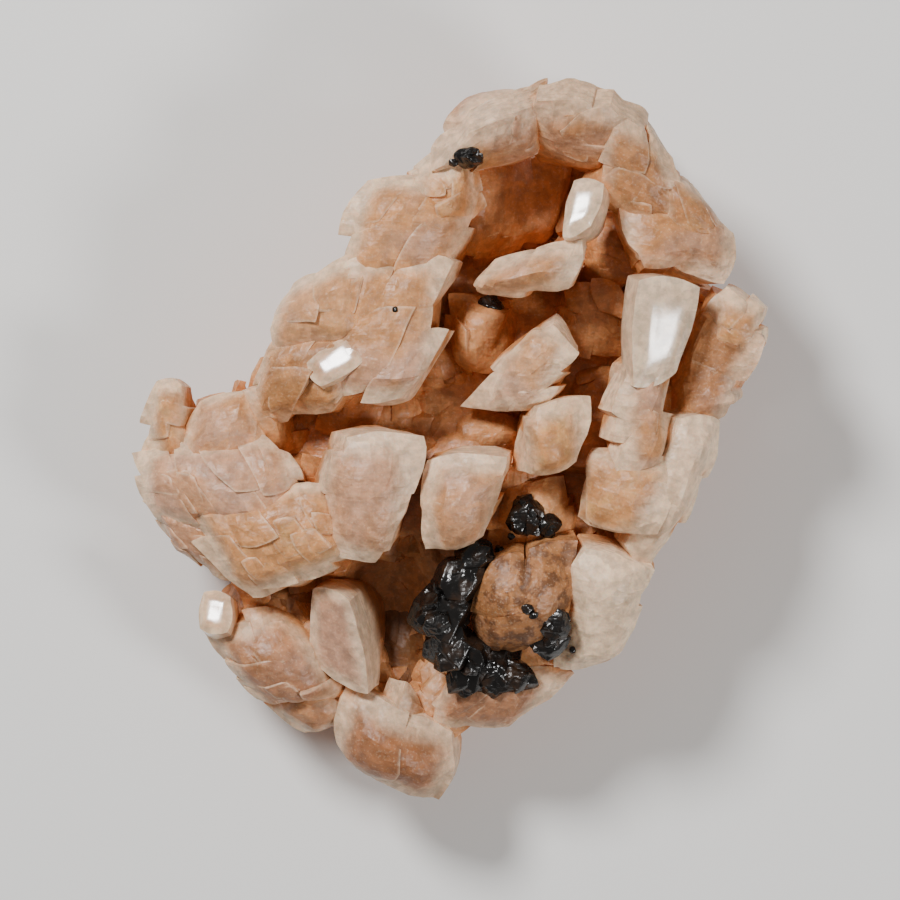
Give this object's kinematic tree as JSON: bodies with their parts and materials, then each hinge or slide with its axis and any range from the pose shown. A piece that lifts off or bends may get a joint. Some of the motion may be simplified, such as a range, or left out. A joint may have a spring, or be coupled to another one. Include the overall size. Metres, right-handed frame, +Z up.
{
  "type": "dolomite cluster",
  "caption": "Cluster of curved pink saddle dolomite crystals on a broken crust, with dark sphalerite grains, cut flat underneath to rest on a surface.",
  "frame": {"origin": "centre of the bounding box seen from above, on the flat underside", "axes": "+Z up out of the crystals, +Y along the cluster's long side towards its arched crest, +X to the right of that as seen from above"},
  "size_m": [0.0314, 0.0364, 0.0124],
  "materials": {
    "dolomite": "pale pink to tan pearly crystal faces, orange-brown in the recesses",
    "sphalerite": "near-black, bright resinous to sub-metallic lustre"
  },
  "bodies": {
    "root": {"dolomite_cluster": "dolomite", "sphalerite_grain_large": "sphalerite", "sphalerite_grain_middle": "sphalerite", "sphalerite_grain_flank": "sphalerite", "sphalerite_grain_crest": "sphalerite", "sphalerite_grain_bar": "sphalerite"}
  },
  "joints": []
}
